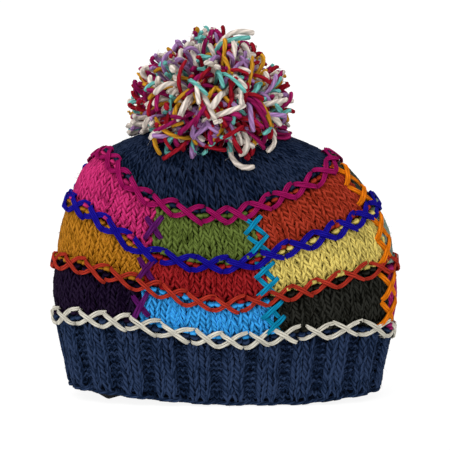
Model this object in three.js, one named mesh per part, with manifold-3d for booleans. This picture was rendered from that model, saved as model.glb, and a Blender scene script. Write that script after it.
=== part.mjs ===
// Bobble hat: a patchwork of knitted squares between a ribbed band and a round crown, with a yarn pompom.
// Millimetres, +Z up. The hat stands on its rim at z = 0, its front faces -Y and its right side is +X.
import * as THREE from "three";
import { ConvexGeometry } from "three/addons/geometries/ConvexGeometry.js";
import { mergeVertices } from "three/addons/utils/BufferGeometryUtils.js";
import Module from "manifold-3d";

const wasm = await Module();
wasm.setup();

// Knitted fabric
const WALL = 5; // two layers of yarn, loop over loop
const SEAM_GAP = 0.8; // clear gap between neighbouring pieces
const PUFF = 1.4; // how far a patch swells between its seams
const SEAM_DIP = 0.7; // how far a patch's edges lie under the hat's surface
const SQUARENESS = 2.8; // power of the oval sections: 2 is an ellipse, more is boxier
const STITCHES_AROUND = 96;
const CROWN_LEAN = -9; // the crown's top sits this far to the left of the rim
const LEAN_START = 102; // height where the lean begins

// Outer surface, from the rim up to the top of the crown
const SECTIONS = [
  { height: 0, halfWidth: 102, halfDepth: 46.8 },
  { height: 21, halfWidth: 105.3, halfDepth: 48.4 },
  { height: 41, halfWidth: 109.5, halfDepth: 50.3 },
  { height: 60, halfWidth: 112.4, halfDepth: 51.5 },
  { height: 79, halfWidth: 112.8, halfDepth: 52 },
  { height: 99, halfWidth: 110.2, halfDepth: 50.7 },
  { height: 117, halfWidth: 105.8, halfDepth: 48 },
  { height: 129, halfWidth: 101, halfDepth: 45 },
  { height: 141, halfWidth: 93.6, halfDepth: 41 },
  { height: 151, halfWidth: 86.5, halfDepth: 37 },
  { height: 160, halfWidth: 76, halfDepth: 32.4 },
  { height: 168, halfWidth: 61, halfDepth: 26.2 },
  { height: 175, halfWidth: 41, halfDepth: 18 },
  { height: 180, halfWidth: 18, halfDepth: 8.6 },
  { height: 181.5, halfWidth: 0, halfDepth: 0 },
];
const CROWN_TOP = SECTIONS.at(-1).height;

// Stations round the hat, as shares of a full turn to the right from the middle of the front
const STATIONS = [
  { name: "front", turn: 0 },
  { name: "frontRight", turn: 0.09 },
  { name: "farRight", turn: 0.17 },
  { name: "right", turn: 0.25 },
  { name: "back", turn: 0.5 },
  { name: "left", turn: 0.75 },
  { name: "farLeft", turn: 0.83 },
  { name: "frontLeft", turn: 0.91 },
];

// Height of the rim's edge at the stations. It rests on the ground at the front and back.
const RIM = {
  front: 0, frontRight: 0, farRight: 3.2, right: 4.5,
  back: 0, left: 6.5, farLeft: 6.2, frontLeft: 3,
};

// Seam lines round the hat and their heights at the stations. They ride up at the two sides.
const COURSES = [
  {
    above: "band",
    front: 44, frontRight: 48.8, farRight: 50.4, right: 44,
    back: 45, left: 53.4, farLeft: 57.7, frontLeft: 53.2,
  },
  {
    above: "lower",
    front: 67.5, frontRight: 77, farRight: 87.9, right: 89,
    back: 69, left: 90, farLeft: 90.6, frontLeft: 79,
  },
  {
    above: "middle",
    front: 92.8, frontRight: 105.8, farRight: 120.5, right: 130,
    back: 94, left: 130.3, farLeft: 124.9, frontLeft: 101.2,
  },
  {
    above: "upper",
    front: 124, frontRight: 137, farRight: 151.3, right: 160,
    back: 125, left: 160.3, farLeft: 157.5, frontLeft: 133.5,
  },
];

// Columns of patches, going round to the right from the one in the middle of the front.
// Slant is how many stitches a column's left seam moves to the right in a hundred millimetres of height.
const FIRST_SEAM = -8.7; // stitches from the front's middle to the left edge of the first column
const SLANT_LEVEL = 91; // height at which the columns are as wide as their stitches
const COLUMNS = [
  { stitches: 13, slant: 2.2, upper: 0x5c7422, middle: 0xa11f22, lower: 0x3f97e0 },
  { stitches: 15, slant: -3.1, upper: 0xb8412a, middle: 0xc9bd62, lower: 0x22221c },
  { stitches: 17, slant: 0, upper: 0x33352a, middle: 0x7d9184, lower: 0xb02a7c },
  { stitches: 16, slant: 0, upper: 0xb97a17, middle: 0x5a2a73, lower: 0x5c7422 },
  { stitches: 16, slant: 0, upper: 0x3f97e0, middle: 0xb8412a, lower: 0xc9bd62 },
  { stitches: 19, slant: 0, upper: 0xd23a83, middle: 0xb97a17, lower: 0x2b1930 },
];
const PATCH_ROWS = ["lower", "middle", "upper"];
const PATCH_GRID = { columns: 10, rows: 3 };

// Ribbed band: two stitches out, two stitches in
const BAND_DEPTH = 6; // from the hat's surface to the band's inside
const RIB_PROFILE = [0.5, 0.5, -2, -2]; // millimetres out of the surface, a value for each stitch
const RIB_GRID = { columns: STITCHES_AROUND, rows: 3, ring: true };

// Fleece lining inside the band
const LINING = { thickness: 2, gap: 0.5, foot: 0.6, top: 40 };
const LINING_CORNER = { reach: -79, spread: 12, drop: 4.6 }; // hangs below the rim at the front left
const LINING_GRID = { columns: 72, rows: 2, ring: true };

// Crown
const CROWN_GRID = { columns: 40, rows: 7, ring: true };
const CROWN_POLE = 0.97; // share of the meridian where the crown's grid closes on its top point

// Pompom: bundles of cut yarn that spring from a tied core
const POMPOM = { middle: 182, side: 52, above: 60, below: 32 }; // height of its middle, and its reach
const CORE_SHARE = 0.78; // size of the core against the reach of the yarn
const CORE_FACETS = { around: 14, up: 10 };
const BUNDLES = 60;
const BUNDLE = { root: 8.5, waist: 7.6, tip: 4.6, sides: 5, steps: 2 }; // radii and facets
const BEND = { start: 0.3, elbow: 0.65, lift: 9, rest: 4 }; // shares of the reach, and heights
const LOWEST_BUNDLE = -0.6; // sine of the steepest downward bundle
const UNEVEN = 0.05; // share by which bundles are longer or shorter than the reach
const POMPOM_CLEARANCE = 0.8; // gap between the yarn and the crown
const ROOM_SKIRT = 0.2; // share of the meridian that the crown's room runs on below its seam
const GOLDEN_ANGLE = Math.PI * (3 - Math.sqrt(5));

const NAVY = 0x1d2c47;
const FLEECE = 0x17181b;
const POMPOM_RED = 0xa8234f;

const meridian = new THREE.CatmullRomCurve3(
  SECTIONS.map((row) => new THREE.Vector3(row.halfWidth, row.halfDepth, row.height)),
  false,
  "centripetal",
);
meridian.arcLengthDivisions = 400;

const signedPower = (value, power) => Math.sign(value) * Math.abs(value) ** power;

// Unit oval: sideways is 1 at the right end, forwards is 1 in the middle of the front
function oval(angle) {
  const power = 2 / SQUARENESS;
  return {
    sideways: signedPower(Math.sin(angle), power),
    forwards: signedPower(Math.cos(angle), power),
  };
}

// Table that turns an even share of the girth into the oval's angle, measured at the widest section
const GIRTH_SAMPLES = 1440;
const girthTable = [0];
{
  const widest = SECTIONS.reduce((a, b) => (b.halfWidth > a.halfWidth ? b : a));
  let before = oval(0);
  for (let k = 1; k <= GIRTH_SAMPLES; k++) {
    const now = oval((2 * Math.PI * k) / GIRTH_SAMPLES);
    const step = Math.hypot(
      (now.sideways - before.sideways) * widest.halfWidth,
      (now.forwards - before.forwards) * widest.halfDepth,
    );
    girthTable.push(girthTable.at(-1) + step);
    before = now;
  }
}

// Angle round the oval for a share of a full turn, where 0 is the middle of the front and 0.25 the right end
function angleAt(turn) {
  const whole = Math.floor(turn);
  const target = (turn - whole) * girthTable.at(-1);
  const k = Math.max(1, girthTable.findIndex((length) => length >= target));
  const part = (target - girthTable[k - 1]) / (girthTable[k] - girthTable[k - 1]);
  return 2 * Math.PI * (whole + (k - 1 + part) / GIRTH_SAMPLES);
}

const leanAt = (height) => CROWN_LEAN * THREE.MathUtils.smoothstep(height, LEAN_START, CROWN_TOP);

// Point on the outer surface for a share of the turn and a share of the way up the meridian
function surface(turn, rise) {
  const { sideways, forwards } = oval(angleAt(turn));
  const section = meridian.getPointAt(THREE.MathUtils.clamp(rise, 0, 1));
  return new THREE.Vector3(leanAt(section.z) + section.x * sideways, -section.y * forwards, section.z);
}

const SMALL = 1e-3;
const HALVINGS = 32; // steps of a search by halves
const SETTLING_STEPS = 4; // rounds of two values that depend on each other
const alongTurn = (turn, rise) =>
  surface(turn + SMALL, rise).sub(surface(turn - SMALL, rise)).divideScalar(2 * SMALL);
const alongRise = (turn, rise) =>
  surface(turn, rise + SMALL).sub(surface(turn, rise - SMALL)).divideScalar(2 * SMALL);

// Point that stands proud of the surface, or lies under it where proud is negative
function raised(turn, rise, proud) {
  const normal = alongTurn(turn, rise).cross(alongRise(turn, rise)).normalize();
  return surface(turn, rise).addScaledVector(normal, proud);
}

// Share of the meridian where the surface reaches a height
function riseAtHeight(height) {
  let low = 0;
  let high = 1;
  for (let k = 0; k < HALVINGS; k++) {
    const middle = (low + high) / 2;
    if (meridian.getPointAt(middle).z < height) low = middle;
    else high = middle;
  }
  return (low + high) / 2;
}

// Height of a seam line, a smooth curve through its values at the stations either side
function seamHeight(course, turn) {
  const count = STATIONS.length;
  const here = turn - Math.floor(turn);
  const k = STATIONS.findLastIndex((station) => station.turn <= here);
  const knot = (step) => {
    const lap = Math.floor((k + step) / count);
    const station = STATIONS[k + step - lap * count];
    return { turn: station.turn + lap, height: course[station.name] };
  };
  const [before, low, high, after] = [-1, 0, 1, 2].map(knot);
  const span = high.turn - low.turn;
  const share = (here - low.turn) / span;
  const slopeLow = ((high.height - before.height) / (high.turn - before.turn)) * span;
  const slopeHigh = ((after.height - low.height) / (after.turn - low.turn)) * span;
  const ease = THREE.MathUtils.smoothstep(share, 0, 1);
  const bend = share * (1 - share) * (slopeLow * (1 - share) - slopeHigh * share);
  return THREE.MathUtils.lerp(low.height, high.height, ease) + bend;
}

// Share of the meridian where a piece ends, half a gap above the seam line or below it
function edgeRise(course, turn, side) {
  const rise = riseAtHeight(seamHeight(course, turn));
  return rise + (side * SEAM_GAP) / 2 / alongRise(turn, rise).length();
}

// Closed wall between two skins. Each skin gives a point for a share across and a share up, both from 0 to 1.
// A ring joins its last column to its first, and poles close its top on two points.
function wall(outer, inner, { columns, rows, ring = false }, poles = null) {
  const across = ring ? columns : columns + 1;
  const layer = across * (rows + 1);
  const points = [];
  for (const skin of [outer, inner]) {
    for (let j = 0; j <= rows; j++) {
      for (let i = 0; i < across; i++) points.push(skin(i / columns, j / rows));
    }
  }
  const at = (skin, i, j) => skin * layer + j * across + (i % across);
  const triangles = [];
  const quad = (a, b, c, d) => triangles.push(a, b, c, a, c, d);
  for (let i = 0; i < columns; i++) {
    for (let j = 0; j < rows; j++) {
      quad(at(0, i, j), at(0, i + 1, j), at(0, i + 1, j + 1), at(0, i, j + 1));
      quad(at(1, i, j), at(1, i, j + 1), at(1, i + 1, j + 1), at(1, i + 1, j));
    }
    quad(at(1, i, 0), at(1, i + 1, 0), at(0, i + 1, 0), at(0, i, 0));
    if (!poles) quad(at(0, i, rows), at(0, i + 1, rows), at(1, i + 1, rows), at(1, i, rows));
  }
  if (!ring) {
    for (let j = 0; j < rows; j++) {
      quad(at(1, 0, j), at(0, 0, j), at(0, 0, j + 1), at(1, 0, j + 1));
      quad(at(0, columns, j), at(1, columns, j), at(1, columns, j + 1), at(0, columns, j + 1));
    }
  }
  if (poles) {
    points.push(...poles);
    for (let i = 0; i < columns; i++) {
      triangles.push(at(0, i, rows), at(0, i + 1, rows), 2 * layer);
      triangles.push(at(1, i + 1, rows), at(1, i, rows), 2 * layer + 1);
    }
  }
  return new THREE.BufferGeometry().setFromPoints(points).setIndex(triangles);
}

function toSolid(geometry) {
  const bare = geometry.clone();
  bare.deleteAttribute("normal");
  bare.deleteAttribute("uv");
  const merged = mergeVertices(bare, SMALL);
  return new wasm.Manifold(
    new wasm.Mesh({
      numProp: 3,
      vertProperties: new Float32Array(merged.attributes.position.array),
      triVerts: new Uint32Array(merged.index.array),
    }),
  );
}

function toGeometry(solid) {
  const mesh = solid.getMesh();
  return new THREE.BufferGeometry()
    .setAttribute("position", new THREE.BufferAttribute(new Float32Array(mesh.vertProperties), 3))
    .setIndex(new THREE.BufferAttribute(new Uint32Array(mesh.triVerts), 1));
}

const hat = new THREE.Group();

function addPiece(name, geometry, color, roughness = 0.95) {
  geometry.computeVertexNormals();
  const material = new THREE.MeshStandardMaterial({ color, roughness, metalness: 0 });
  const mesh = new THREE.Mesh(geometry, material);
  mesh.name = name;
  hat.add(mesh);
}

const rimHeight = (turn) => Math.max(0, seamHeight(RIM, turn));

// Ribbed band, from the rim up to the first seam
function bandGeometry() {
  const skin = (proudAt) => (across, up) => {
    const column = Math.round(across * STITCHES_AROUND);
    const foot = riseAtHeight(rimHeight(across));
    const rise = THREE.MathUtils.lerp(foot, edgeRise(COURSES[0], across, -1), up);
    return raised(across, rise, proudAt(column)).setZ(surface(across, rise).z);
  };
  const ribbed = skin((column) => RIB_PROFILE[column % RIB_PROFILE.length]);
  return wall(ribbed, skin(() => -BAND_DEPTH), RIB_GRID);
}

// Height of the lining's lower edge: just inside the rim, but let down in a corner at the front left
function liningFoot(turn) {
  const { x, y } = surface(turn, 0);
  const away = Math.abs(x - LINING_CORNER.reach) / LINING_CORNER.spread;
  const hang = y < 0 ? LINING_CORNER.drop * Math.max(0, 1 - away) : 0;
  return LINING.foot + Math.max(0, rimHeight(turn) - hang);
}

// Fleece lining, a plain ring inside the band
function liningGeometry() {
  const outside = BAND_DEPTH + LINING.gap;
  const skin = (depth) => (across, up) => {
    const height = THREE.MathUtils.lerp(liningFoot(across), LINING.top, up);
    return raised(across, riseAtHeight(height), -depth).setZ(height);
  };
  return wall(skin(outside), skin(outside + LINING.thickness), LINING_GRID);
}

const seamTurn = ({ stitch, slant }, height) =>
  (stitch + (slant * (height - SLANT_LEVEL)) / 100) / STITCHES_AROUND;

// One knitted patch between two seam lines and two columns' seams, swollen in the middle. Its turn depends
// on the height and its rise depends on the turn, so the two are worked out again until they settle.
function patchGeometry(lowCourse, highCourse, leftSeam, rightSeam) {
  const middle = seamTurn(leftSeam, SLANT_LEVEL);
  const gap = SEAM_GAP / 2 / alongTurn(middle, edgeRise(lowCourse, middle, 1)).length();
  const place = (across, up) => {
    const spot = { turn: middle, rise: 0 };
    let height = SLANT_LEVEL;
    for (let k = 0; k < SETTLING_STEPS; k++) {
      const left = seamTurn(leftSeam, height) + gap;
      const right = seamTurn(rightSeam, height) - gap;
      spot.turn = THREE.MathUtils.lerp(left, right, across);
      const low = edgeRise(lowCourse, spot.turn, 1);
      spot.rise = THREE.MathUtils.lerp(low, edgeRise(highCourse, spot.turn, -1), up);
      height = surface(spot.turn, spot.rise).z;
    }
    return spot;
  };
  const outer = (across, up) => {
    const { turn, rise } = place(across, up);
    const swell = Math.sqrt(Math.sin(Math.PI * across)) * Math.sin(Math.PI * up);
    return raised(turn, rise, PUFF * swell - SEAM_DIP);
  };
  const inner = (across, up) => {
    const { turn, rise } = place(across, up);
    return raised(turn, rise, -WALL);
  };
  return wall(outer, inner, PATCH_GRID);
}

// A cap of the hat above the top seam, with its skin moved out by proud and its foot let down by drop
function crownSkin(proud, drop = 0) {
  return (across, up) => {
    const low = edgeRise(COURSES.at(-1), across, 1) - drop;
    return raised(across, THREE.MathUtils.lerp(low, CROWN_POLE, up), proud);
  };
}

const crownPole = (proud) => surface(0, 1).setZ(CROWN_TOP + proud);

function crownGeometry() {
  return wall(crownSkin(0), crownSkin(-WALL), CROWN_GRID, [crownPole(0), crownPole(-WALL)]);
}

// The room that the crown takes up, which the pompom keeps clear of
function crownRoom() {
  const skin = crownSkin(POMPOM_CLEARANCE, ROOM_SKIRT);
  const points = [crownPole(POMPOM_CLEARANCE)];
  for (let j = 0; j <= CROWN_GRID.rows; j++) {
    for (let i = 0; i < CROWN_GRID.columns; i++) {
      points.push(skin(i / CROWN_GRID.columns, j / CROWN_GRID.rows));
    }
  }
  return toSolid(new ConvexGeometry(points));
}

// Height of the crown's surface above a point of the ground, or 0 outside it
function crownHeight(x, y) {
  let low = 0;
  let high = 1;
  for (let k = 0; k < HALVINGS; k++) {
    const middle = (low + high) / 2;
    const section = meridian.getPointAt(middle);
    const across = Math.abs(x - leanAt(section.z)) / section.x;
    const along = Math.abs(y) / section.y;
    if (across ** SQUARENESS + along ** SQUARENESS < 1) low = middle;
    else high = middle;
  }
  return meridian.getPointAt(low).z;
}

// A bundle of yarn: rings of points carried along a curve, closed at its root and its tip
function bundleGeometry(curve) {
  const { sides, steps } = BUNDLE;
  const radii = new THREE.CatmullRomCurve3(
    [BUNDLE.root, BUNDLE.waist, BUNDLE.tip].map((radius, k) => new THREE.Vector3(k, radius, 0)),
  );
  const frames = curve.computeFrenetFrames(steps);
  const points = [];
  for (let j = 0; j <= steps; j++) {
    const centre = curve.getPointAt(j / steps);
    const radius = radii.getPoint(j / steps).y;
    for (let i = 0; i < sides; i++) {
      const around = (2 * Math.PI * i) / sides;
      const spoke = frames.normals[j].clone().multiplyScalar(Math.cos(around));
      spoke.addScaledVector(frames.binormals[j], Math.sin(around));
      points.push(centre.clone().addScaledVector(spoke, radius));
    }
  }
  const root = points.push(curve.getPointAt(0)) - 1;
  const tip = points.push(curve.getPointAt(1)) - 1;
  const triangles = [];
  for (let i = 0; i < sides; i++) {
    const next = (i + 1) % sides;
    for (let j = 0; j < steps; j++) {
      const low = j * sides;
      const high = low + sides;
      triangles.push(low + i, low + next, high + next, low + i, high + next, high + i);
    }
    triangles.push(root, next, i);
    triangles.push(tip, steps * sides + i, steps * sides + next);
  }
  return new THREE.BufferGeometry().setFromPoints(points).setIndex(triangles);
}

// Pompom: bundles spread evenly over a ball, arching out of the core and resting on the crown below them
function pompomGeometry() {
  const { side, above, below } = POMPOM;
  const middle = surface(0, 1).setZ(POMPOM.middle);
  const core = new THREE.SphereGeometry(CORE_SHARE, CORE_FACETS.around, CORE_FACETS.up);
  core.rotateX(Math.PI / 2).scale(side, side, above).translate(...middle);
  const solids = [toSolid(core)];
  for (let k = 0; k < BUNDLES; k++) {
    const up = THREE.MathUtils.lerp(LOWEST_BUNDLE, 1, (k + 0.5) / BUNDLES);
    const flat = Math.sqrt(1 - up * up) * side;
    const spin = k * GOLDEN_ANGLE;
    const uneven = 1 + UNEVEN * Math.sin(spin * spin);
    const tall = up * (up > 0 ? above : below);
    const reach = new THREE.Vector3(Math.cos(spin) * flat, Math.sin(spin) * flat, tall);
    const tip = middle.clone().addScaledVector(reach, uneven);
    tip.z = Math.max(tip.z, crownHeight(tip.x, tip.y) + BEND.rest);
    const root = middle.clone().lerp(tip, BEND.start);
    const elbow = middle.clone().lerp(tip, BEND.elbow);
    elbow.z += (BEND.lift * flat) / side;
    solids.push(toSolid(bundleGeometry(new THREE.QuadraticBezierCurve3(root, elbow, tip))));
  }
  const yarn = wasm.Manifold.union(solids).subtract(crownRoom());
  const bodies = yarn.decompose();
  return toGeometry(bodies.reduce((a, b) => (b.volume() > a.volume() ? b : a)));
}

addPiece("rib_band", bandGeometry(), NAVY);
addPiece("lining_band", liningGeometry(), FLEECE);
let stitch = FIRST_SEAM;
const seams = COLUMNS.map(({ stitches, slant }) => {
  const seam = { stitch, slant };
  stitch += stitches;
  return seam;
});
seams.push({ stitch, slant: COLUMNS[0].slant });
COLUMNS.forEach((column, index) => {
  PATCH_ROWS.forEach((row, level) => {
    const geometry = patchGeometry(COURSES[level], COURSES[level + 1], seams[index], seams[index + 1]);
    addPiece(`${row}_patch_${index + 1}`, geometry, column[row]);
  });
});
addPiece("crown", crownGeometry(), NAVY);
addPiece("pompom", pompomGeometry(), POMPOM_RED);

export default hat;
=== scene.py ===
"""Patchwork bobble hat: each knit loop, crossed stitch and strand of yarn is a swept numpy surface."""
import math
from collections import namedtuple
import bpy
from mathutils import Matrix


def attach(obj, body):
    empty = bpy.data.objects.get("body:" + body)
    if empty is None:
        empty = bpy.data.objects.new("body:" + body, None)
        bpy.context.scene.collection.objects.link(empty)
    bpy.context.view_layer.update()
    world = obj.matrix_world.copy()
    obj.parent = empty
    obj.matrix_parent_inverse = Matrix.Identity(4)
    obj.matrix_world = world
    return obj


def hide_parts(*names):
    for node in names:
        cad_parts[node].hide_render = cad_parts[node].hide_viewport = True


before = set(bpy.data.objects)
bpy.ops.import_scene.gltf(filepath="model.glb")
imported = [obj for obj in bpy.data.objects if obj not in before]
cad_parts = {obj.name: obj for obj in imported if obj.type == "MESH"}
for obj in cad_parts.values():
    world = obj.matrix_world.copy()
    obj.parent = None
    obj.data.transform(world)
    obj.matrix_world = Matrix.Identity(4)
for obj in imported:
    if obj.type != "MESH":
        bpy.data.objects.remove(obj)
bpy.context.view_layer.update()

from types import SimpleNamespace as Named

import bpy
import numpy as np
from bpy.props import FloatProperty, FloatVectorProperty, IntProperty, PointerProperty

bl_info = {
    "name": "Patchwork bobble hat",
    "version": (1, 0, 0),
    "blender": (4, 5, 0),
    "location": "View3D > Sidebar > Hat",
    "description": "Knits a patchwork hat with crossed stitching and a yarn pompom",
    "category": "Add Mesh",
}

MM = 0.001
TURN = 2 * math.pi
SMALL = 1e-3
TINY = 1e-12

# Outer surface of the hat in millimetres, from the rim to the top of the crown
Section = namedtuple("Section", "height half_width half_depth")
SECTIONS = (
    Section(0, 102, 46.8),
    Section(21, 105.3, 48.4),
    Section(41, 109.5, 50.3),
    Section(60, 112.4, 51.5),
    Section(79, 112.8, 52),
    Section(99, 110.2, 50.7),
    Section(117, 105.8, 48),
    Section(129, 101, 45),
    Section(141, 93.6, 41),
    Section(151, 86.5, 37),
    Section(160, 76, 32.4),
    Section(168, 61, 26.2),
    Section(175, 41, 18),
    Section(180, 18, 8.6),
    Section(181.5, 0, 0),
)
SQUARENESS = 2.8
STITCHES_AROUND = 96
CROWN_LEAN = -9
LEAN_START = 102
CROWN_TOP = SECTIONS[-1].height

# Heights in millimetres of the rim and the four seam lines at eight stations round the hat
STATION_TURNS = (0, 0.09, 0.17, 0.25, 0.5, 0.75, 0.83, 0.91)
Course = namedtuple("Course", "front front_right far_right right back left far_left front_left")
RIM = Course(0, 0, 3.2, 4.5, 0, 6.5, 6.2, 3)
COURSES = (
    Course(44, 48.8, 50.4, 44, 45, 53.4, 57.7, 53.2),
    Course(67.5, 77, 87.9, 89, 69, 90, 90.6, 79),
    Course(92.8, 105.8, 120.5, 130, 94, 130.3, 124.9, 101.2),
    Course(124, 137, 151.3, 160, 125, 160.3, 157.5, 133.5),
)

# Patch columns round to the right from the middle of the front: stitches across, the slant of the left seam
# in stitches to the right for each hundred millimetres up, and the wool of each patch from the bottom up
Column = namedtuple("Column", "stitches slant lower middle upper")
FIRST_SEAM = -8.7
SLANT_LEVEL = 91
COLUMNS = (
    Column(13, 2.2, "sky", "red", "green"),
    Column(15, -3.1, "charcoal", "lime", "rust"),
    Column(17, 0, "magenta", "sage", "olive"),
    Column(16, 0, "green", "plum", "mustard"),
    Column(16, 0, "lime", "rust", "sky"),
    Column(19, 0, "aubergine", "mustard", "pink"),
)
LEVELS = ("lower", "middle", "upper")

# Stitching between the rows: yarns side by side, their thickness against the usual sewing yarn, and where
# the crosses sit at the front, in stitches from its middle. Round the back they are about a pitch apart.
RowSeam = namedtuple("RowSeam", "wool yarns width front_crosses")
ROW_SEAMS = (
    RowSeam("cream", 2, 0.88, (
        -22.4, -18.7, -15.2, -12.3, -9.1, -5.6, -2.1, 0.6, 3.9, 6.6, 10.2, 13.4, 17.6, 21.4)),
    RowSeam("brick", 2, 0.84, (
        -20.7, -17.6, -14.7, -11.5, -8.5, -5.8, -2.9, 0.3, 3.4, 5.9, 8.5, 11.1, 14.1, 17.8, 21.1)),
    RowSeam("royal", 3, 0.76, (
        -21.8, -18.4, -15.3, -12.4, -9.1, -5.2, -1.7, 1.6, 5.2, 8.6, 11.5, 14.6, 17.3, 20.4)),
    RowSeam("fuchsia", 3, 0.68, (
        -21.3, -17.2, -13.9, -10.7, -7.3, -4.1, -0.8, 1.8, 4.7, 8.2, 11.5, 15.6, 19.4)),
)
ROW_PITCH = 3.3
# Stitching between the columns: yarns and their thickness as above, crosses on each patch, and their half
# width and half height in millimetres
ColumnSeam = namedtuple("ColumnSeam", "wool yarns width crosses half_width half_height")
COLUMN_SEAMS = (
    ColumnSeam("violet", 2, 1.1, 1, 6.2, 8.6),
    ColumnSeam("teal", 2, 0.92, 2, 7.6, 7.0),
    ColumnSeam("orange", 2, 1.1, 2, 9.4, 10.0),
    ColumnSeam("cream", 2, 0.84, 2, 6.2, 6.6),
    ColumnSeam("fuchsia", 2, 0.84, 2, 6.0, 6.6),
    ColumnSeam("royal", 2, 0.84, 2, 6.2, 7.0),
)

# Pompom yarns: share of the strands and thickness against the usual yarn
PomYarn = namedtuple("PomYarn", "wool share width")
POM_YARNS = (
    PomYarn("pom_cream", 0.21, 1.16),
    PomYarn("pom_magenta", 0.21, 1.0),
    PomYarn("pom_mustard", 0.17, 0.95),
    PomYarn("pom_red", 0.15, 1.0),
    PomYarn("pom_lavender", 0.15, 1.0),
    PomYarn("pom_aqua", 0.11, 0.95),
)
# Single strands that stray from the pompom: the yarn's number and the points that it passes, in millimetres
Stray = namedtuple("Stray", "yarn points")
STRAYS = (
    Stray(0, ((-8, -12, 217), (-3, -14, 233), (6, -14, 240), (19, -12, 239.5))),
    Stray(5, ((-9, -14, 216), (-4, -17, 231), (6, -17, 235.5), (16.5, -16, 236.5))),
)
# One loose strand of the first yarn on the front of the crown: its places across and up, in millimetres
LOOSE_STRAND = ((6, 180), (4, 170), (3.4, 163), (6.1, 157.5), (12, 154), (19, 154.6))


def size(name, description, millimetres):
    return FloatProperty(name=name, description=description, default=millimetres * MM,
                         unit="LENGTH", precision=5)


def ratio(name, description, value):
    return FloatProperty(name=name, description=description, default=value, min=0)


def whole(name, description, value, least):
    return IntProperty(name=name, description=description, default=value, min=least)


def colour_setting(name, value):
    return FloatVectorProperty(name=name, description=f"Colour of the {name.lower()}",
                               subtype="COLOR", size=3, min=0, max=1, default=value)


class HatKnit(bpy.types.PropertyGroup):
    yarn: size("Yarn", "Radius of the knitting yarn", 1.42)
    stitch: size("Stitch", "Width of one loop", 6.6)
    row_height: size("Row", "Height of one row of loops", 3.9)
    depth: size("Depth", "How far a loop swings in and out of the fabric", 1.05)
    lean: ratio("Lean", "How far a loop's legs lean, in stitches", 0.27)
    reach: ratio("Reach", "Half of a loop's height, in rows", 1.2)
    wander: ratio("Wander", "Unevenness of the hand knitting, in stitches", 0.11)
    steps: whole("Steps", "Rings along one loop", 10, 6)
    sides: whole("Sides", "Sides of the yarn", 5, 4)
    # Painted shade: the knitting yarn's sides and back are darker than its front, as if in shade
    flank_shade: ratio("Flank", "How much darker the yarn is at its back than at its front", 0.3)
    fibres: ratio("Fibres", "Loose fibres for each loop", 1.0)
    fibre: size("Fibre", "Longest loose fibre", 2.4)


class HatStitching(bpy.types.PropertyGroup):
    yarn: size("Yarn", "Radius of one sewing yarn", 0.95)
    half_height: size("Half height", "Half of the height of a row's crosses", 5.6)
    proud: size("Proud", "How far the stitching stands out of the hat", 2.3)
    steps: whole("Steps", "Rings along one stitch", 11, 6)
    sides: whole("Sides", "Sides of the yarn", 6, 4)
    # Painted shade: the sewing yarn's sides and back are darker than its front, as if in shade
    flank_shade: ratio("Flank", "How much darker the yarn is at its back than at its front", 0.15)


class HatPompom(bpy.types.PropertyGroup):
    strands: whole("Strands", "Number of cut strands", 1120, 10)
    yarn: size("Yarn", "Radius of a strand", 1.56)
    middle: size("Middle", "Height of the pompom's middle", 182)
    side: size("Side", "Reach to the sides", 54)
    above: size("Above", "Reach upwards", 58.6)
    below: size("Below", "Reach downwards", 36)
    fibres: whole("Fibres", "Loose fibres on one strand", 4, 1)
    fibre: size("Fibre", "Longest loose fibre", 3.6)
    steps: whole("Steps", "Rings along one strand", 10, 4)
    sides: whole("Sides", "Sides of a strand", 5, 4)


class HatColours(bpy.types.PropertyGroup):
    navy: colour_setting("Navy", (0.00653, 0.0148, 0.0396))
    night: colour_setting("Night", (0.0027, 0.00748, 0.0227))
    sky: colour_setting("Sky", (0.0194, 0.191, 0.448))
    red: colour_setting("Red", (0.164, 0.0045, 0.00574))
    green: colour_setting("Green", (0.0603, 0.0858, 0.0147))
    charcoal: colour_setting("Charcoal", (0.00581, 0.00599, 0.00403))
    lime: colour_setting("Lime", (0.399, 0.316, 0.0777))
    rust: colour_setting("Rust", (0.194, 0.0169, 0.00586))
    magenta: colour_setting("Magenta", (0.238, 0.0101, 0.088))
    sage: colour_setting("Sage", (0.123, 0.164, 0.135))
    olive: colour_setting("Olive", (0.018, 0.0203, 0.0135))
    plum: colour_setting("Plum", (0.048, 0.0105, 0.08))
    mustard: colour_setting("Mustard", (0.235, 0.0921, 0.004))
    aubergine: colour_setting("Aubergine", (0.00374, 0.000669, 0.008))
    pink: colour_setting("Pink", (0.301, 0.012, 0.0834))
    cream: colour_setting("Cream", (0.507, 0.483, 0.412))
    brick: colour_setting("Brick", (0.307, 0.0238, 0.0128))
    royal: colour_setting("Royal", (0.00632, 0.00312, 0.201))
    fuchsia: colour_setting("Fuchsia", (0.239, 0.0038, 0.0734))
    violet: colour_setting("Violet", (0.0693, 0.00498, 0.0799))
    teal: colour_setting("Teal", (0.0025, 0.186, 0.332))
    orange: colour_setting("Orange", (0.574, 0.142, 0.00285))
    pom_cream: colour_setting("Pompom cream", (0.625, 0.554, 0.491))
    pom_magenta: colour_setting("Pompom magenta", (0.234, 0.00754, 0.073))
    pom_mustard: colour_setting("Pompom mustard", (0.486, 0.23, 0.0176))
    pom_red: colour_setting("Pompom red", (0.265, 0.00712, 0.017))
    pom_lavender: colour_setting("Pompom lavender", (0.315, 0.172, 0.372))
    pom_aqua: colour_setting("Pompom aqua", (0.13, 0.415, 0.377))
    # Painted shade: the heart's dark red stands for the shade deep among the pompom's strands
    pom_heart: colour_setting("Pompom heart", (0.13, 0.02, 0.045))
    fleece: colour_setting("Fleece", (0.010, 0.010, 0.012))
    floor: colour_setting("Floor", (0.14, 0.14, 0.14))


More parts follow.
